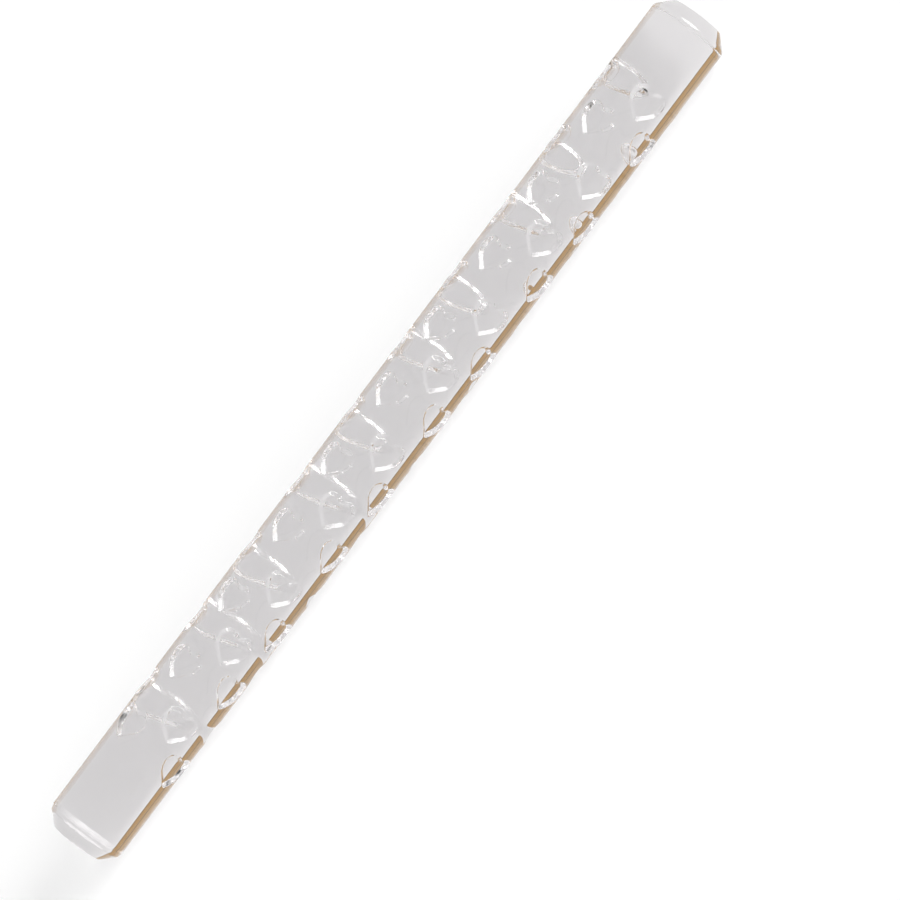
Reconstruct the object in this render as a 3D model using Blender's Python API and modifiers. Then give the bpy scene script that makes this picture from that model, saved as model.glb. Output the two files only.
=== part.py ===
"""Acrylic embossing rolling pin: one solid clear rod with rows of heart pockets round it.

The rod is turned between two chamfered ends, and eight columns of hearts are sunk into its
round face by one depth, so that dough rolled under it takes raised hearts.

Frame: metres. +X runs along the rod, towards the end that the hearts' lobes point to, and +Z
is up. The rod lies on one of its facets, and the origin is under the middle of the rod.
"""

import math

import bmesh
import bpy
from mathutils import Matrix

# Rod
ROD_LENGTH = 0.240
ROD_DIAMETER = 0.020
ROD_FACETS = 40

# Chamfer and rounding of the end that the lobes point to
LOBE_END_CHAMFER = 0.0028
LOBE_END_ROUNDING = 0.0019
ROUNDING_STEPS = 3

# Chamfer and long shoulder of the end that the tips point to
TIP_END_CHAMFER = 0.0029
TIP_END_SHOULDER = 0.0013
TIP_END_SHOULDER_DROP = 0.0004

# One heart: its length along the rod and its width measured round the rod. Shares of half its
# width: the radius of a lobe, and the radius that the notch between the lobes is rounded by. The
# steps are the straight edges that stand for each arc of one half.
HEART_LENGTH = 0.0088
HEART_WIDTH = 0.0093
LOBE_SHARE = 0.56
NOTCH_SHARE = 0.215
BODY_STEPS = 2
LOBE_STEPS = 3
NOTCH_STEPS = 1

# Its pocket, with a wall that slopes by this angle from upright, in degrees
POCKET_DEPTH = 0.0009
WALL_SLOPE = 45

# Pattern: columns of hearts along the rod, spaced evenly round it but for the shares below. The
# first column's turn from the top is in degrees.
HEART_PITCH = 0.0197
HEARTS_PER_COLUMN = 10
FIRST_COLUMN_TURN = 15.0

# One row a column. Shares of the column spacing: how far its line is turned past its even
# place, how far the line twists over the rod's length, and how far its hearts sway to either
# side of the line. Shares of the heart pitch: how far its middle lies from the rod's middle, and
# how much longer every other gap is.
COLUMN_SHARES = (
    {"turn": 0.03, "twist": 0.20, "sway": -0.03, "middle": -0.16, "long_gap": 0.04},
    {"turn": 0.10, "twist": 0.20, "sway": 0.08, "middle": 0.283, "long_gap": 0.11},
    {"turn": -0.007, "twist": 0.20, "sway": 0.07, "middle": -0.17, "long_gap": 0.13},
    {"turn": 0.063, "twist": 0.27, "sway": 0.00, "middle": 0.28, "long_gap": -0.14},
    {"turn": -0.107, "twist": 0.27, "sway": 0.00, "middle": -0.25, "long_gap": 0.06},
    {"turn": 0.143, "twist": 0.36, "sway": 0.04, "middle": 0.355, "long_gap": 0.20},
    {"turn": 0.133, "twist": 0.27, "sway": 0.08, "middle": -0.09, "long_gap": 0.08},
    {"turn": 0.083, "twist": 0.27, "sway": 0.00, "middle": 0.39, "long_gap": -0.07},
)

# The first column's first heart strays from its place by these shares, of the heart pitch along
# the rod and of the column spacing round it
STRAY_ALONG_SHARE = 0.11
STRAY_TURN_SHARE = -0.21

# How far a cutter runs past the surface that it cuts
CUT_OVERRUN = 0.0005
MERGE_DISTANCE = 0.00001

ROD_RADIUS = ROD_DIAMETER / 2
FLOOR_RADIUS = ROD_RADIUS - POCKET_DEPTH


def clear_scene():
    """Remove every object of the open file."""
    for obj in list(bpy.data.objects):
        bpy.data.objects.remove(obj, do_unlink=True)


def new_collection(name):
    """A collection of this name, linked to the scene."""
    collection = bpy.data.collections.new(name)
    bpy.context.scene.collection.children.link(collection)
    return collection


def clear_acrylic():
    """Polished clear acrylic: colourless, see-through and glossy."""
    material = bpy.data.materials.new("clear_acrylic")
    material.use_nodes = True
    shader = material.node_tree.nodes["Principled BSDF"]
    shader.inputs["Base Color"].default_value = (0.86, 0.86, 0.87, 1.0)
    shader.inputs["Roughness"].default_value = 0.05
    shader.inputs["Metallic"].default_value = 0.0
    shader.inputs["Transmission Weight"].default_value = 1.0
    shader.inputs["IOR"].default_value = 1.49
    material.diffuse_color = (0.86, 0.86, 0.87, 1.0)
    return material


def rod_profile():
    """Points (radius, place along the rod) from the lobe end's centre to the tip end's centre."""
    half = ROD_LENGTH / 2
    corner = math.radians(45)
    rounding_drop = LOBE_END_ROUNDING * (1 - math.cos(corner))
    chamfer_foot = half - LOBE_END_CHAMFER
    lobe_face_radius = ROD_RADIUS - rounding_drop - LOBE_END_CHAMFER
    points = [(0.0, half), (lobe_face_radius, half)]
    for step in range(ROUNDING_STEPS + 1):
        turn = corner * (1 - step / ROUNDING_STEPS)
        points.append(
            (
                ROD_RADIUS - LOBE_END_ROUNDING * (1 - math.cos(turn)),
                chamfer_foot - LOBE_END_ROUNDING * (math.sin(corner) - math.sin(turn)),
            )
        )
    shoulder_radius = ROD_RADIUS - TIP_END_SHOULDER_DROP
    points += [
        (ROD_RADIUS, TIP_END_CHAMFER + TIP_END_SHOULDER - half),
        (shoulder_radius, TIP_END_CHAMFER - half),
        (shoulder_radius - TIP_END_CHAMFER, -half),
        (0.0, -half),
    ]
    return points


def turned(name, points, collection):
    """Turn a profile about the rod's axis, with one facet facing straight down.

    A profile's radius is measured to the middle of a facet, so the solid is as thick across
    its flats as the round rod is.
    """
    half_facet = math.tan(math.pi / ROD_FACETS)
    verts = [(radius, radius * half_facet, along) for radius, along in points]
    mesh = bpy.data.meshes.new(name)
    mesh.from_pydata(verts, [(i, i + 1) for i in range(len(verts) - 1)], [])
    obj = bpy.data.objects.new(name, mesh)
    collection.objects.link(obj)
    obj.location = (0.0, 0.0, ROD_RADIUS)
    obj.rotation_euler = (0.0, math.radians(90), 0.0)
    screw = obj.modifiers.new("turning", "SCREW")
    screw.axis = "Z"
    screw.steps = screw.render_steps = ROD_FACETS
    screw.use_merge_vertices = True
    screw.merge_threshold = MERGE_DISTANCE
    screw.use_smooth_shade = True
    return obj


def arc(centre_along, centre_aside, radius, start, end, steps):
    """Points (along the rod, across it) of an arc, without its first."""
    turns = [start + (end - start) * step / steps for step in range(1, steps + 1)]
    return [
        (centre_along + radius * math.cos(turn), centre_aside + radius * math.sin(turn)) for turn in turns
    ]


def heart_outline(inset):
    """Points (along the rod, round it) of a heart about its middle, drawn in by an inset.

    A round body is as wide as the heart. Straight sides touch it and meet in the tip, and two
    lobes touch it from inside where it is widest. Between the lobes the notch is rounded.
    """
    body_radius = HEART_WIDTH / 2
    lobe_radius = body_radius * LOBE_SHARE
    notch_radius = body_radius * NOTCH_SHARE
    lobe_aside = body_radius - lobe_radius
    centre = HEART_LENGTH / 2 - lobe_radius
    side_slope = math.asin(body_radius / (HEART_LENGTH - lobe_radius))
    notch_turn = math.asin(lobe_aside / (lobe_radius + notch_radius))
    notch_centre = centre + (lobe_radius + notch_radius) * math.cos(notch_turn)

    straight_up = math.pi / 2
    touch = straight_up + side_slope
    body, lobe, notch = body_radius - inset, lobe_radius - inset, notch_radius + inset
    tip = (centre - body / math.sin(side_slope), 0.0)
    half = [(centre + body * math.cos(touch), body * math.sin(touch))]
    half += arc(centre, 0.0, body, touch, straight_up, BODY_STEPS)
    half += arc(centre, lobe_aside, lobe, straight_up, -notch_turn, LOBE_STEPS)
    half += arc(notch_centre, 0.0, notch, math.pi - notch_turn, math.pi, NOTCH_STEPS)
    other_half = [(along, -aside) for along, aside in reversed(half[:-1])]
    return [tip] + half + other_half


def heart_block():
    """A block as a mesh that cuts the pocket of a heart on top of the rod, down past its floor.

    It is lofted through four sections: a flat top, one above the rod's face and one below the
    pocket's floor, which lie round the rod's axis and carry the sloping wall, and a flat foot.
    """
    slope = math.tan(math.radians(WALL_SLOPE))
    sections = []
    for depth in (-CUT_OVERRUN, POCKET_DEPTH + CUT_OVERRUN):
        reach = ROD_RADIUS - depth
        turned_outline = [(along, aside / ROD_RADIUS) for along, aside in heart_outline(depth * slope)]
        sections.append(
            [(along, reach * math.sin(turn), reach * math.cos(turn)) for along, turn in turned_outline]
        )
    above, below = sections
    top = max(height for along, across, height in above) + CUT_OVERRUN
    foot = min(height for along, across, height in below) - CUT_OVERRUN
    rings = [
        [(along, across, top) for along, across, height in above],
        above,
        below,
        [(along, across, foot) for along, across, height in below],
    ]
    count = len(above)
    faces = [list(range(count)), list(reversed(range(3 * count, 4 * count)))]
    for first in range(0, 3 * count, count):
        for point in range(count):
            ahead = (point + 1) % count
            faces.append(
                [first + point, first + count + point, first + count + ahead, first + ahead]
            )
    mesh = bpy.data.meshes.new("heart_block")
    mesh.from_pydata([point for ring in rings for point in ring], [], faces)
    loft = bmesh.new()
    loft.from_mesh(mesh)
    bmesh.ops.recalc_face_normals(loft, faces=loft.faces)
    loft.to_mesh(mesh)
    loft.free()
    return mesh


def heart_places():
    """Yield each heart's place along the rod and its turn from the top, in radians."""
    spacing = 360 / len(COLUMN_SHARES)
    for number, share in enumerate(COLUMN_SHARES):
        line = FIRST_COLUMN_TURN + spacing * (number + share["turn"])
        for heart in range(HEARTS_PER_COLUMN):
            side = -1 if heart % 2 else 1
            steps = heart - (HEARTS_PER_COLUMN - 1) / 2
            along = HEART_PITCH * (steps + share["middle"] - side * share["long_gap"] / 2)
            stray = number == heart == 0
            if stray:
                along += HEART_PITCH * STRAY_ALONG_SHARE
            turn = line + spacing * (side * share["sway"] + share["twist"] * along / ROD_LENGTH)
            if stray:
                turn += spacing * STRAY_TURN_SHARE
            yield along, math.radians(turn)


def heart_cutter(collection):
    """All hearts in one cutter, hollowed to the pockets' round floor."""
    block = heart_block()
    hearts = bmesh.new()
    for along, turn in heart_places():
        first = len(hearts.verts)
        hearts.from_mesh(block)
        hearts.verts.ensure_lookup_table()
        place = Matrix.Translation((along, 0.0, ROD_RADIUS)) @ Matrix.Rotation(turn, 4, "X")
        bmesh.ops.transform(hearts, matrix=place, verts=hearts.verts[first:])
    mesh = bpy.data.meshes.new("heart_cutter")
    hearts.to_mesh(mesh)
    hearts.free()
    cutter = bpy.data.objects.new("heart_cutter", mesh)
    collection.objects.link(cutter)

    half = ROD_LENGTH / 2 + CUT_OVERRUN
    core_points = [(0.0, half), (FLOOR_RADIUS, half), (FLOOR_RADIUS, -half), (0.0, -half)]
    core = turned("pocket_floor", core_points, collection)
    cut(cutter, core, "floor")
    for guide in (cutter, core):
        guide.hide_render = True
        guide.display_type = "WIRE"
    return cutter


def cut(obj, cutter, name):
    """Cut an object by a cutter."""
    boolean = obj.modifiers.new(name, "BOOLEAN")
    boolean.operation = "DIFFERENCE"
    boolean.object = cutter
    boolean.solver = "EXACT"


def build():
    """The rolling pin and its cutters."""
    clear_scene()
    parts = new_collection("acrylic_rolling_pin")
    cutters = new_collection("cutters")
    rod = turned("embossing_rod", rod_profile(), parts)
    rod.data.materials.append(clear_acrylic())
    cut(rod, heart_cutter(cutters), "heart_pockets")


build()
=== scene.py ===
"""Looks of an acrylic embossing rolling pin: one clear solid rod with hearts sunk into its face.

Metres. +X runs along the rod, towards the end that the hearts' lobes point to, and +Z is up. The
rod lies on the table, with the origin under its middle.
"""

import bpy
import numpy as np
from mathutils import Matrix
from mathutils.geometry import delaunay_2d_cdt


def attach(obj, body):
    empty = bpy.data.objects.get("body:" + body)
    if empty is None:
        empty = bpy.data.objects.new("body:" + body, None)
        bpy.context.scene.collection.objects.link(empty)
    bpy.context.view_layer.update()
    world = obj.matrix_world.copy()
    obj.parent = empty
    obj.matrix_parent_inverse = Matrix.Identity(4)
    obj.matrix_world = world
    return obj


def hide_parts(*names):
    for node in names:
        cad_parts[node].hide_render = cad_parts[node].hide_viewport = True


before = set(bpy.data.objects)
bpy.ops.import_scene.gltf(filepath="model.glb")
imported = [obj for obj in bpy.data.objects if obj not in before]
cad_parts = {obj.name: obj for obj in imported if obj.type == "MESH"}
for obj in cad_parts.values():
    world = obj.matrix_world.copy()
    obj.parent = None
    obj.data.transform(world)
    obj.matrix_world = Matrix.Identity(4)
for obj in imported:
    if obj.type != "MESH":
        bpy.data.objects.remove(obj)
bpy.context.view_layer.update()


# ---- Turned ends ----------------------------------------------------------------------------
# The rod is one solid bar of clear acrylic, turned round and chamfered at both ends. The end that
# the lobes point to has a rounded foot under its chamfer, and the other a long shoulder. Every
# edge was broken and flame polished, so none is sharp.

ROD_LENGTH = 0.240
ROD_RADIUS = 0.010
ROUND_STEPS = 80

# The rod's outline from the middle of one end face to the middle of the other, as corners (place
# along the rod, radius, radius that the corner is rounded by)
ROD_CORNERS = (
    (-0.1200, 0.0000, 0.0000),
    (-0.1200, 0.0067, 0.0003),
    (-0.1171, 0.0096, 0.0003),
    (-0.1158, 0.0100, 0.0010),
    (0.11664, 0.0100, 0.0019),
    (0.1200, 0.00664, 0.00025),
    (0.1200, 0.0000, 0.0000),
)
CORNER_STEPS = 4
TIP_END_CORNERS = 3


def rounded(corners, steps):
    """Points along a line with rounded corners, and the unit normals on the left of its way.

    An arc that touches both sides of a corner has its centre where each side's normal is one
    radius long: corner + radius (n0 + n1) / (1 + n0.n1), on the inner side of the bend. Its
    points are one radius from there, along normals that turn in equal steps from n0 to n1.
    """
    corners = np.asarray(corners, dtype=float)
    ways = np.diff(corners[:, :2], axis=0)
    ways /= np.linalg.norm(ways, axis=1)[:, None]
    sides = np.stack([-ways[:, 1], ways[:, 0]], axis=1)
    before, after = sides[:-1], sides[1:]
    cosine = np.sum(before * after, axis=1)
    bend = np.arctan2(before[:, 0] * after[:, 1] - before[:, 1] * after[:, 0], cosine)
    reach = (np.sign(bend) * corners[1:-1, 2])[:, None]
    centres = corners[1:-1, :2] + reach * (before + after) / (1 + cosine)[:, None]
    start = np.arctan2(before[:, 1], before[:, 0])
    turns = start[:, None] + bend[:, None] * np.linspace(0, 1, steps + 1)
    normals = np.stack([np.cos(turns), np.sin(turns)], axis=-1)
    points = centres[:, None] - reach[:, None] * normals
    points = np.concatenate([corners[:1, :2], points.reshape(-1, 2), corners[-1:, :2]])
    normals = np.concatenate([sides[:1], normals.reshape(-1, 2), sides[-1:]])
    return points, normals


def on_rod(along, around, height):
    """Points in space: around is the arc from the top towards -Y, and height is above the face.

    With r = radius + height and a = around / radius, a point is along, -r sin a and radius +
    r cos a.
    """
    turn = around / ROD_RADIUS
    reach = ROD_RADIUS + height
    return np.stack([along, -reach * np.sin(turn), ROD_RADIUS + reach * np.cos(turn)], axis=-1)


def turned_normals(along, around, up, arc, height):
    """Normals in space from their shares along the rod, around it and away from it.

    arc is the point's own arc from the top. The share around is divided by (radius + height) /
    radius, because below the face an arc is shorter.
    """
    turn = arc / ROD_RADIUS
    around = around * ROD_RADIUS / (ROD_RADIUS + height)
    normal = np.stack(
        [
            along,
            -up * np.sin(turn) - around * np.cos(turn),
            up * np.cos(turn) - around * np.sin(turn),
        ],
        axis=-1,
    )
    return normal / np.linalg.norm(normal, axis=-1, keepdims=True)


profile, profile_normals = rounded(ROD_CORNERS, CORNER_STEPS)
profile, profile_normals = profile[1:-1], profile_normals[1:-1]
# The profile's points before this one are the tip end's, and the others the lobe end's
middle = TIP_END_CORNERS * (CORNER_STEPS + 1)
girth = 2 * np.pi * ROD_RADIUS
ring_around = (np.arange(ROUND_STEPS) / ROUND_STEPS - 0.5) * girth
end_around = np.tile(ring_around, (len(profile), 1))
end_along, end_height, outward_along, outward_up = (
    np.repeat(values[:, None], ROUND_STEPS, axis=1)
    for values in (*(profile - (0.0, ROD_RADIUS)).T, *profile_normals.T)
)
level_round = np.zeros_like(end_around)
end_points = on_rod(end_along, end_around, end_height)
end_normals = turned_normals(outward_along, level_round, outward_up, end_around, level_round)


# ---- Heart pockets --------------------------------------------------------------------------
# Eight columns of hearts are sunk 0.9 mm into the rod's round face, so that they stand proud on
# the dough. The engraving bit left each with a wall sloping at 45 degrees, rounded at the rim and
# at the floor, which follows the rod's curve.

HEART_LENGTH = 0.0088
HEART_WIDTH = 0.0093
LOBE_SHARE = 0.56
TIP_RADIUS = 0.0009
NOTCH_RADIUS = 0.001
LEAST_RADIUS = 0.00004
POCKET_DEPTH = 0.0009
WALL_SLOPE = np.radians(45)
RIM_RADIUS = 0.0004
FLOOR_RADIUS = 0.0005
RIM_MARGIN = 0.0003

HEART_PITCH = 0.0197
HEARTS_PER_COLUMN = 10
FIRST_COLUMN_TURN = 15.0

# One row a column. Shares of the column spacing: how far its line is turned past its even place,
# how far the line twists over the rod's length, and how far its hearts sway to either side of the
# line. Shares of the heart pitch: how far its middle lies from the rod's middle, and how much
# longer every other gap is.
COLUMN_SHARES = np.array(
    [
        (0.03, 0.20, -0.03, -0.16, 0.04),
        (0.10, 0.20, 0.08, 0.283, 0.11),
        (-0.007, 0.20, 0.07, -0.17, 0.13),
        (0.063, 0.27, 0.00, 0.28, -0.14),
        (-0.107, 0.27, 0.00, -0.25, 0.06),
        (0.143, 0.36, 0.04, 0.355, 0.20),
        (0.133, 0.27, 0.08, -0.09, 0.08),
        (0.083, 0.27, 0.00, 0.39, -0.07),
    ]
)

# The first column's first heart strays from its place by these shares, of the heart pitch along
# the rod and of the column spacing round it
STRAY_ALONG_SHARE = 0.11
STRAY_TURN_SHARE = -0.21

# How many steps draw each part of half an outline
TIP_STEPS = 4
SIDE_STEPS = 6
BODY_STEPS = 10
LOBE_STEPS = 16
NOTCH_STEPS = 4

# A heart is a round body of the heart's whole width, with straight sides that touch it and meet
# in the tip, and two lobes that touch it from inside where it is widest
body_radius = HEART_WIDTH / 2
lobe_radius = LOBE_SHARE * body_radius
lobe_aside = body_radius - lobe_radius
centre_along = HEART_LENGTH / 2 - lobe_radius
side_slope = np.arcsin(body_radius / (HEART_LENGTH - lobe_radius))
notch_turn = np.arcsin(lobe_aside / (lobe_radius + NOTCH_RADIUS))
notch_ahead = (lobe_radius + NOTCH_RADIUS) * np.cos(notch_turn)


def heart_outlines(insets):
    """Parallel outlines of a heart, tip towards -along, and the unit normals that point out of it.

    A half is an arc round the tip, a straight side, an arc of the body, an arc of the lobe and one
    in the notch, each touching the next. An outline drawn in by an inset keeps the centres of
    body, lobe and notch. Its first two radii are smaller by the inset, and the notch's is larger.
    """
    insets = insets[:, None]
    body = body_radius - insets
    lobe = lobe_radius - insets
    tip = np.maximum(TIP_RADIUS - insets, LEAST_RADIUS)
    notch = NOTCH_RADIUS + insets
    tip_centre = centre_along - (body - tip) / np.sin(side_slope)

    side_turn = np.pi / 2 + side_slope
    lobe_sweep = np.pi / 2 + notch_turn
    tip_turn = np.pi + (side_turn - np.pi) * np.linspace(0, 1, TIP_STEPS + 1) + 0 * insets
    body_turn = side_turn - side_slope * np.linspace(0, 1, BODY_STEPS + 1) + 0 * insets
    lobe_turn = np.pi / 2 - lobe_sweep * np.linspace(0, 1, LOBE_STEPS + 1)[1:] + 0 * insets
    inner_turn = np.pi - notch_turn * np.linspace(1, 0, NOTCH_STEPS + 1)[1:] + 0 * insets

    def arc(ahead, aside, radius, turn):
        """Points one radius from a centre, at each turn from straight ahead."""
        return np.stack([ahead + radius * np.cos(turn), aside + radius * np.sin(turn)], axis=-1)

    tip_arc = arc(tip_centre, 0.0, tip, tip_turn)
    body_arc = arc(centre_along, 0.0, body, body_turn)
    lobe_arc = arc(centre_along, lobe_aside, lobe, lobe_turn)
    notch_arc = arc(centre_along + notch_ahead, 0.0, notch, inner_turn)
    share = np.linspace(0, 1, SIDE_STEPS + 1)[1:-1, None]
    side = tip_arc[:, -1:] + (body_arc[:, :1] - tip_arc[:, -1:]) * share
    half = np.concatenate([tip_arc, side, body_arc, lobe_arc, notch_arc], axis=1)
    turns = np.concatenate(
        [tip_turn, side_turn + 0 * side[..., 0], body_turn, lobe_turn, inner_turn + np.pi], axis=1
    )
    out = np.stack([np.cos(turns), np.sin(turns)], axis=-1)
    mirror = np.array([1, -1])
    points = np.concatenate([half, half[:, -2:0:-1] * mirror], axis=1)
    return points, np.concatenate([out, out[:, -2:0:-1] * mirror], axis=1)


def distance_from_heart(along, aside):
    """How far points lie outside a heart's outline; negative inside.

    Behind the centres of body and lobes this is the distance to a straight side or, past its
    touching point, to the body's circle. Ahead of them it is the distance to the lobe's circle,
    or to the notch's within the angle that the notch spans.
    """
    aside = np.abs(aside)
    ahead = along - centre_along
    from_side = aside * np.cos(side_slope) - ahead * np.sin(side_slope) - body_radius
    from_body = np.hypot(ahead, aside) - body_radius
    from_lobe = np.hypot(ahead, aside - lobe_aside) - lobe_radius
    from_notch = NOTCH_RADIUS - np.hypot(ahead - notch_ahead, aside)
    before_touch = ahead * np.cos(side_slope) + aside * np.sin(side_slope) < 0
    in_notch = aside < lobe_aside * (1 - ahead / notch_ahead)
    behind = np.where(before_touch, from_side, from_body)
    return np.where(ahead > 0, np.where(in_notch, from_notch, from_lobe), behind)


# Where each heart lies: each column has its own start, rhythm and twist round the rod
column = np.arange(len(COLUMN_SHARES))[:, None]
heart = np.arange(HEARTS_PER_COLUMN)
side_of_line = 1 - 2 * (heart % 2)
turn_share, twist_share, sway_share, middle_share, gap_share = COLUMN_SHARES.T[..., None]
spacing = 360 / len(COLUMN_SHARES)
from_middle = heart - (HEARTS_PER_COLUMN - 1) / 2
heart_along = HEART_PITCH * (from_middle + middle_share - side_of_line * gap_share / 2)
heart_along[0, 0] += HEART_PITCH * STRAY_ALONG_SHARE
twist = twist_share * heart_along / ROD_LENGTH
sway = side_of_line * sway_share
heart_turn = FIRST_COLUMN_TURN + spacing * (column + turn_share + sway + twist)
heart_turn[0, 0] += spacing * STRAY_TURN_SHARE
turn_from_top = (np.radians(heart_turn).ravel() + np.pi) % (2 * np.pi)
heart_around = turn_from_top * ROD_RADIUS - girth / 2
heart_along = heart_along.ravel()

# The wall's profile as (inset, height above the face), from just outside the rim to just past
# the floor's fillet
floor_inset = POCKET_DEPTH * np.tan(WALL_SLOPE)
wall, wall_normals = rounded(
    [
        (-RIM_MARGIN, 0.0, 0.0),
        (0.0, 0.0, RIM_RADIUS),
        (floor_inset, -POCKET_DEPTH, FLOOR_RADIUS),
        (floor_inset + RIM_MARGIN, -POCKET_DEPTH, 0.0),
    ],
    CORNER_STEPS,
)
outlines, out = heart_outlines(wall[:, 0])
pocket_along = heart_along[:, None, None] + outlines[None, :, :, 0]
pocket_around = heart_around[:, None, None] + outlines[None, :, :, 1]
pocket_height, inward, upward = (
    np.broadcast_to(values[None, :, None], pocket_along.shape)
    for values in (wall[:, 1], *wall_normals.T)
)
pocket_points = on_rod(pocket_along, pocket_around, pocket_height)
pocket_normals = turned_normals(
    -inward * out[..., 0], -inward * out[..., 1], upward, pocket_around, pocket_height
)


# ---- Round face and pocket floors -----------------------------------------------------------
# Between the hearts the rod keeps its turned round face, and inside each the floor is a smaller
# round about the same axis. Both are drawn on the rod's face as it unrolls.

# Points in a row round the rod, where a row's first one stands as a share of a step, how far they
# keep from the pockets' rings, how much of the unrolled face is repeated beyond its seam, and how
# near two points count as one
FACE_COLUMNS = 72
FIRST_STEP_SHARE = 0.25
CLEARANCE = 0.00035
SEAM_SHARE = 0.2
SAME_POINT = 1e-9

# The points between the hearts stand in staggered rows, as the corners of even triangles do
face_step = girth / FACE_COLUMNS
row_step = face_step * np.sqrt(0.75)
rows = np.arange(profile[middle - 1, 0], profile[middle, 0], row_step)[1:-1]
stagger = (np.arange(len(rows)) % 2)[:, None] / 2
steps = np.arange(FACE_COLUMNS) + FIRST_STEP_SHARE + stagger
fill_around = (steps * face_step - girth / 2).ravel()
fill_along = np.repeat(rows, FACE_COLUMNS)
ahead = fill_along[:, None] - heart_along
aside = (fill_around[:, None] - heart_around + girth / 2) % girth - girth / 2
distance = distance_from_heart(ahead, aside).min(axis=1)
on_face = distance > RIM_MARGIN + CLEARANCE
on_floor = distance < -(wall[-1, 0] + CLEARANCE)
fill_height = np.where(on_floor, -POCKET_DEPTH, 0.0)
kept = on_face | on_floor
fill_along, fill_around, fill_height = fill_along[kept], fill_around[kept], fill_height[kept]
fill_points = on_rod(fill_along, fill_around, fill_height)
flat = np.zeros_like(fill_along)
fill_normals = turned_normals(flat, flat, flat + 1.0, fill_around, fill_height)


def joined_triangles(spots, level, loops):
    """Triangles (rows of three indices) that join the points of the unrolled face.

    The face repeats every girth, so the points near each edge are copied beyond the other. All
    are joined so that no circle through a triangle's corners holds another point, with the
    loops' sides kept as edges. A triangle stays if its middle lies within one girth and all its
    corners are on one level.
    """
    reach = girth / 2 + SEAM_SHARE * girth
    shifts = np.array([(-girth, 0.0), (0.0, 0.0), (girth, 0.0)])
    shifted = spots + shifts[:, None]
    used = np.abs(shifted[..., 0]) < reach
    loop_used = np.abs(shifted[:, loops, 0].mean(axis=2)) < reach
    used[:, loops.ravel()] = np.repeat(loop_used, loops.shape[1], axis=1)
    number = np.cumsum(used.ravel()).reshape(used.shape) - 1
    copy, loop = np.nonzero(loop_used)
    corners = number[copy[:, None], loops[loop]]
    sides = np.stack([corners, np.roll(corners, -1, axis=1)], axis=-1).reshape(-1, 2)
    _, _, triangles, origins, _, _ = delaunay_2d_cdt(
        shifted[used].tolist(), sides.tolist(), [], 0, SAME_POINT, True
    )
    first = [origin[0] for origin in origins]
    source = np.nonzero(used)[1][first]
    triangles = np.array(triangles)
    centre = shifted[used][first][triangles, 0].mean(axis=1)
    inside = (centre >= -girth / 2) & (centre < girth / 2)
    triangles = source[triangles[inside]]
    return triangles[(level[triangles] == level[triangles[:, :1]]).all(axis=1)]


pockets, rings, outline_points = pocket_along.shape
pocket_index = np.arange(pocket_along.size).reshape(pocket_along.shape)
fill_index = pocket_index.size + np.arange(len(fill_along))
end_index = pocket_index.size + len(fill_index) + np.arange(end_along.size).reshape(end_along.shape)

spots = np.concatenate(
    [
        np.stack([pocket_around, pocket_along], axis=-1)[:, [0, -1]].reshape(-1, 2),
        np.stack([fill_around, fill_along], axis=-1),
        np.stack([end_around, end_along], axis=-1)[[middle - 1, middle]].reshape(-1, 2),
    ]
)
spot_index = np.concatenate(
    [pocket_index[:, [0, -1]].ravel(), fill_index, end_index[[middle - 1, middle]].ravel()]
)
level = np.concatenate(
    [
        np.repeat(np.tile([0, 1], pockets), outline_points),
        (fill_height < 0).astype(int),
        np.zeros(2 * ROUND_STEPS, dtype=int),
    ]
)
loops = np.arange(pockets * 2 * outline_points).reshape(-1, outline_points)
face_triangles = spot_index[joined_triangles(spots, level, loops)]


def strips(index):
    """Four-sided faces between closed rings of points, index being (..., ring, point).

    Each joins a point, the next one on its ring, and the same two of the next ring.
    """
    following = np.roll(index, -1, axis=-1)
    near, far = index[..., :-1, :], index[..., 1:, :]
    near_following, far_following = following[..., :-1, :], following[..., 1:, :]
    return np.stack([near, near_following, far_following, far], axis=-1).reshape(-1, 4)


points = np.concatenate([pocket_points.reshape(-1, 3), fill_points, end_points.reshape(-1, 3)])
normals = np.concatenate([pocket_normals.reshape(-1, 3), fill_normals, end_normals.reshape(-1, 3)])
faces = [
    *face_triangles.tolist(),
    *strips(pocket_index).tolist(),
    *strips(end_index[:middle]).tolist(),
    *strips(end_index[middle:]).tolist(),
    end_index[0, ::-1].tolist(),
    end_index[-1].tolist(),
]
mesh = bpy.data.meshes.new("embossing_rod_clear")
mesh.from_pydata(points.tolist(), [], faces)
mesh.validate()
mesh.shade_smooth()
mesh.normals_split_custom_set_from_vertices(normals.tolist())
rod = bpy.data.objects.new("embossing_rod_clear", mesh)
bpy.context.scene.collection.objects.link(rod)


# ---- Clear acrylic --------------------------------------------------------------------------
# Cast acrylic, colourless and clear to its core. The rod's face, its ends and the pockets' floors
# are polished, and the pockets' walls keep the finely matt finish that the cutter left, so they
# show as pale lines. Polishing left the face faintly wavy, and handling a light haze on it.

POLISH_WAVE = 0.006
WAVE_HEIGHT = 0.000003
HAZE_PATCH = 0.012
FACE_ROUGHNESS = 0.012
HAZE_ROUGHNESS = 0.02
WALL_ROUGHNESS = 0.1

# Levels of the noise at which the haze begins and is full
HAZE_BEGINS = 0.4
HAZE_IS_FULL = 0.7


def linear(hex_colour):
    """An sRGB hex colour as linear red, green, blue and alpha 1."""
    value = np.array([int(hex_colour[i : i + 2], 16) for i in (1, 3, 5)]) / 255
    value = np.where(value <= 0.04045, value / 12.92, ((value + 0.055) / 1.055) ** 2.4)
    return (*value.tolist(), 1.0)


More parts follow.
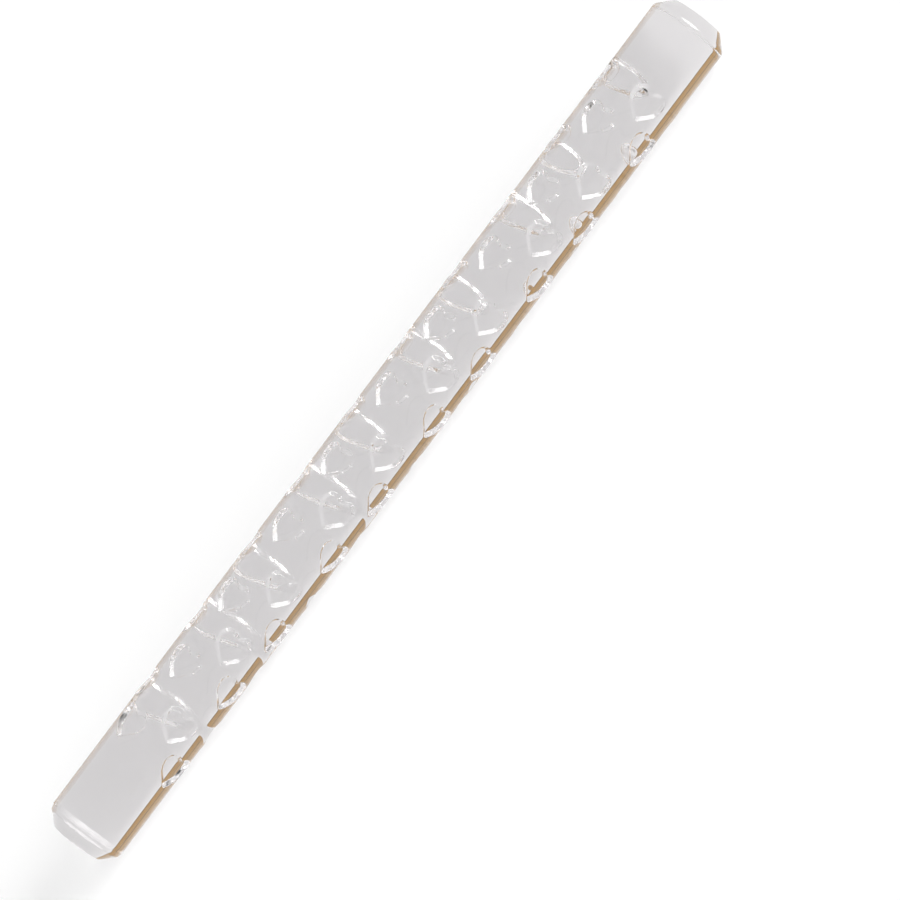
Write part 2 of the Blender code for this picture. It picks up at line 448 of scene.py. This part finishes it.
def add_node(tree, kind, **settings):
    """One more node. A setting names one of its properties, or an input socket by its identifier.

    A socket given another node's output is linked to it, and any other value is set.
    """
    node = tree.nodes.new(kind)
    sockets = {socket.identifier.replace(" ", "_"): socket for socket in node.inputs}
    for name, value in settings.items():
        if name not in sockets:
            setattr(node, name, value)
        elif isinstance(value, bpy.types.NodeSocket):
            tree.links.new(value, sockets[name])
        else:
            sockets[name].default_value = value
    return node


# How much of the cutter's finish each point has: none on the polished face and floor, all of it
# on the wall, and a share across the rounds at rim and floor
rim_ends, fillet_starts = CORNER_STEPS + 1, rings - CORNER_STEPS - 2
wall_share = np.interp(np.arange(rings), [1, rim_ends, fillet_starts, rings - 2], [0, 1, 1, 0])
finish = np.zeros(len(points))
finish[pocket_index] = wall_share[:, None]
mesh.attributes.new("cutter_finish", "FLOAT", "POINT").data.foreach_set("value", finish)

acrylic = bpy.data.materials.new("polished_cast_acrylic")
acrylic.use_nodes = True
tree = acrylic.node_tree
shader = tree.nodes["Principled BSDF"]
shader.inputs["Base Color"].default_value = linear("#E4E2E3")
shader.inputs["Transmission Weight"].default_value = 1.0
shader.inputs["IOR"].default_value = 1.49
on_object = add_node(tree, "ShaderNodeTexCoord").outputs["Object"]
haze = add_node(tree, "ShaderNodeTexNoise", Vector=on_object, Scale=1 / HAZE_PATCH, Detail=4.0)
face = add_node(
    tree,
    "ShaderNodeMapRange",
    Value=haze.outputs["Fac"],
    From_Min=HAZE_BEGINS,
    From_Max=HAZE_IS_FULL,
    To_Min=FACE_ROUGHNESS,
    To_Max=FACE_ROUGHNESS + HAZE_ROUGHNESS,
)
cutter = add_node(tree, "ShaderNodeAttribute", attribute_name="cutter_finish")
roughness = add_node(
    tree,
    "ShaderNodeMix",
    Factor_Float=cutter.outputs["Fac"],
    A_Float=face.outputs["Result"],
    B_Float=WALL_ROUGHNESS,
)
tree.links.new(roughness.outputs["Result"], shader.inputs["Roughness"])
wave = add_node(tree, "ShaderNodeTexNoise", Vector=on_object, Scale=1 / POLISH_WAVE, Detail=1.0)
relief = add_node(tree, "ShaderNodeBump", Height=wave.outputs["Fac"], Distance=WAVE_HEIGHT)
tree.links.new(relief.outputs["Normal"], shader.inputs["Normal"])
rod.data.materials.append(acrylic)

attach(rod, "root")
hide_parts("embossing_rod")


# ---- Table ----------------------------------------------------------------------------------
# A plain white table top, matt, wide enough to fill every view. Half of the white that the camera
# and the acrylic see is the table's own, so the rod's shadow stays light.

TABLE_REACH = 4.0
OWN_WHITE = 0.5

table = bpy.data.materials.new("matt_white_table")
table.use_nodes = True
tree = table.node_tree
shader = tree.nodes["Principled BSDF"]
shader.inputs["Roughness"].default_value = 0.9
path = add_node(tree, "ShaderNodeLightPath")
seen = add_node(
    tree,
    "ShaderNodeMath",
    operation="MAXIMUM",
    Value=path.outputs["Is Camera Ray"],
    Value_001=path.outputs["Is Glossy Ray"],
)
seen_through = add_node(
    tree,
    "ShaderNodeMath",
    operation="MAXIMUM",
    Value=seen.outputs["Value"],
    Value_001=path.outputs["Is Transmission Ray"],
)
colour = add_node(
    tree,
    "ShaderNodeMix",
    data_type="RGBA",
    Factor_Float=seen_through.outputs["Value"],
    A_Color=linear("#DDDDDE"),
    B_Color=(*[1 - OWN_WHITE] * 3, 1.0),
)
own_white = add_node(
    tree,
    "ShaderNodeMath",
    operation="MULTIPLY",
    Value=seen_through.outputs["Value"],
    Value_001=OWN_WHITE,
)
tree.links.new(colour.outputs["Result"], shader.inputs["Base Color"])
tree.links.new(own_white.outputs["Value"], shader.inputs["Emission Strength"])
shader.inputs["Emission Color"].default_value = linear("#FFFFFF")
mesh = bpy.data.meshes.new("table_top")
corners = TABLE_REACH * np.array([(-1, -1, 0), (1, -1, 0), (1, 1, 0), (-1, 1, 0)])
mesh.from_pydata(corners.tolist(), [], [(0, 1, 2, 3)])
mesh.materials.append(table)
table_top = bpy.data.objects.new("table_top", mesh)
bpy.context.scene.collection.objects.link(table_top)


# ---- Teak slats -----------------------------------------------------------------------------
# A low fence of oiled teak slats stands close behind the rod. Only the acrylic shows it, as a
# narrow tan band along the rod's lower edge, where it bends the view towards the horizon.

FENCE_WIDTH = 0.28
FENCE_DISTANCE = 0.05
SLAT_HEIGHT = 0.009
SLATS = 4

# The dark of a joint ends and the slat's own colour begins at these shares of a slat's height
JOINT_ENDS = 0.07
SLAT_BEGINS = 0.13

teak = bpy.data.materials.new("oiled_teak_slats")
teak.use_nodes = True
tree = teak.node_tree
shader = tree.nodes["Principled BSDF"]
shader.inputs["Roughness"].default_value = 0.5
on_object = add_node(tree, "ShaderNodeTexCoord").outputs["Object"]
place = add_node(tree, "ShaderNodeSeparateXYZ", Vector=on_object)
slat = add_node(
    tree, "ShaderNodeMath", operation="DIVIDE", Value=place.outputs["Z"], Value_001=SLAT_HEIGHT
)
# The share of a slat's height between a point and the nearest joint
from_joint = add_node(
    tree, "ShaderNodeMath", operation="PINGPONG", Value=slat.outputs["Value"], Value_001=0.5
)
tone = add_node(tree, "ShaderNodeValToRGB", Fac=from_joint.outputs["Value"])
tone.color_ramp.elements[0].position = JOINT_ENDS
tone.color_ramp.elements[0].color = linear("#4A2E0C")
tone.color_ramp.elements[1].position = SLAT_BEGINS
tone.color_ramp.elements[1].color = linear("#A87C22")
tree.links.new(tone.outputs["Color"], shader.inputs["Base Color"])
mesh = bpy.data.meshes.new("slat_fence")
fence_size = (FENCE_WIDTH / 2, FENCE_DISTANCE, SLATS * SLAT_HEIGHT)
corners = np.array([(-1, 1, 0), (1, 1, 0), (1, 1, 1), (-1, 1, 1)]) * fence_size
mesh.from_pydata(corners.tolist(), [], [(0, 1, 2, 3)])
mesh.materials.append(teak)
fence = bpy.data.objects.new("slat_fence", mesh)
bpy.context.scene.collection.objects.link(fence)
fence.visible_camera = False
fence.visible_diffuse = False
fence.visible_shadow = False


# ---- Light and surroundings -----------------------------------------------------------------
# A white light tent, bright along its foot and to the front, with one soft lamp beyond the lobe
# end. A path through the rod meets many pocket walls, so it may bend more often than by default.

TENT_GLOW = 0.2
FOOT_GLOW = 0.88
FRONT_GLOW = 0.8
LAMP_GLOW = 9.5
LAMP_TURN = np.radians(-20)
LAMP_RISE = np.radians(19)
LAMP_CORE = np.radians(13)
LAMP_EDGE = np.radians(27)
PLAIN_WHITE = 1.0
PATH_BOUNCES = 24

# Where the foot's and the front's glow begin and are full, as the share of a direction of length
# 1 that points up, and away from the front
FOOT_BEGINS, FOOT_IS_FULL = 0.5, 0.25
FRONT_BEGINS, FRONT_IS_FULL = 0.4, -0.6

world = bpy.data.worlds.new("light_tent")
world.use_nodes = True
bpy.context.scene.world = world
tree = world.node_tree
direction = add_node(tree, "ShaderNodeTexCoord").outputs["Generated"]
part = add_node(tree, "ShaderNodeSeparateXYZ", Vector=direction)
foot = add_node(
    tree,
    "ShaderNodeMapRange",
    interpolation_type="SMOOTHSTEP",
    Value=part.outputs["Z"],
    From_Min=FOOT_BEGINS,
    From_Max=FOOT_IS_FULL,
    To_Min=TENT_GLOW,
    To_Max=TENT_GLOW + FOOT_GLOW,
)
front = add_node(
    tree,
    "ShaderNodeMapRange",
    interpolation_type="SMOOTHSTEP",
    Value=part.outputs["Y"],
    From_Min=FRONT_BEGINS,
    From_Max=FRONT_IS_FULL,
    To_Min=0.0,
    To_Max=FRONT_GLOW,
)
towards_lamp = add_node(
    tree,
    "ShaderNodeVectorMath",
    operation="DOT_PRODUCT",
    Vector=direction,
    Vector_001=(
        np.cos(LAMP_RISE) * np.cos(LAMP_TURN),
        np.cos(LAMP_RISE) * np.sin(LAMP_TURN),
        np.sin(LAMP_RISE),
    ),
)
lamp = add_node(
    tree,
    "ShaderNodeMapRange",
    interpolation_type="SMOOTHSTEP",
    Value=towards_lamp.outputs["Value"],
    From_Min=np.cos(LAMP_EDGE),
    From_Max=np.cos(LAMP_CORE),
    To_Min=0.0,
    To_Max=LAMP_GLOW,
)
walls = add_node(
    tree, "ShaderNodeMath", Value=foot.outputs["Result"], Value_001=front.outputs["Result"]
)
path = add_node(tree, "ShaderNodeLightPath")
# The acrylic shows the tent's walls as plain white, with the lamp before them
seen_walls = add_node(
    tree,
    "ShaderNodeMix",
    Factor_Float=path.outputs["Is Glossy Ray"],
    A_Float=walls.outputs["Value"],
    B_Float=PLAIN_WHITE,
)
glow = add_node(
    tree, "ShaderNodeMath", Value=seen_walls.outputs["Result"], Value_001=lamp.outputs["Result"]
)
strength = add_node(
    tree,
    "ShaderNodeMix",
    Factor_Float=path.outputs["Is Camera Ray"],
    A_Float=glow.outputs["Value"],
    B_Float=PLAIN_WHITE,
)
background = tree.nodes["Background"]
background.inputs["Color"].default_value = linear("#FFFFFF")
tree.links.new(strength.outputs["Result"], background.inputs["Strength"])

cycles = bpy.context.scene.cycles
cycles.max_bounces = cycles.transmission_bounces = cycles.glossy_bounces = PATH_BOUNCES


# ---- Camera ---------------------------------------------------------------------------------
# The camera stands about a metre off on the -Y side and looks 42 degrees down at the rod, rolled
# so that the lobe end points up and to the right.

SENSOR_WIDTH = 36
FOCAL_LENGTH = 180
VIEW_ELEVATION = np.radians(42)
VIEW_ROLL = np.radians(53.08)
VIEW_DISTANCE = 1.0465
VIEW_SHIFT_RIGHT = 0.01463
VIEW_SHIFT_UP = -0.00472

camera = bpy.data.cameras.new("camera")
camera.sensor_width = SENSOR_WIDTH
camera.lens = FOCAL_LENGTH
level_right = np.array([1.0, 0.0, 0.0])
forward = np.array([0.0, np.cos(VIEW_ELEVATION), -np.sin(VIEW_ELEVATION)])
level_up = np.cross(level_right, forward)
right = np.cos(VIEW_ROLL) * level_right - np.sin(VIEW_ROLL) * level_up
up = np.sin(VIEW_ROLL) * level_right + np.cos(VIEW_ROLL) * level_up
place = (0.0, 0.0, ROD_RADIUS) - VIEW_DISTANCE * forward
place += VIEW_SHIFT_RIGHT * right + VIEW_SHIFT_UP * up
view = bpy.data.objects.new("camera", camera)
view.matrix_world = Matrix((*zip(right, up, -forward, place), (0, 0, 0, 1)))
bpy.context.scene.collection.objects.link(view)
bpy.context.scene.camera = view
bpy.context.scene.view_settings.view_transform = "Standard"
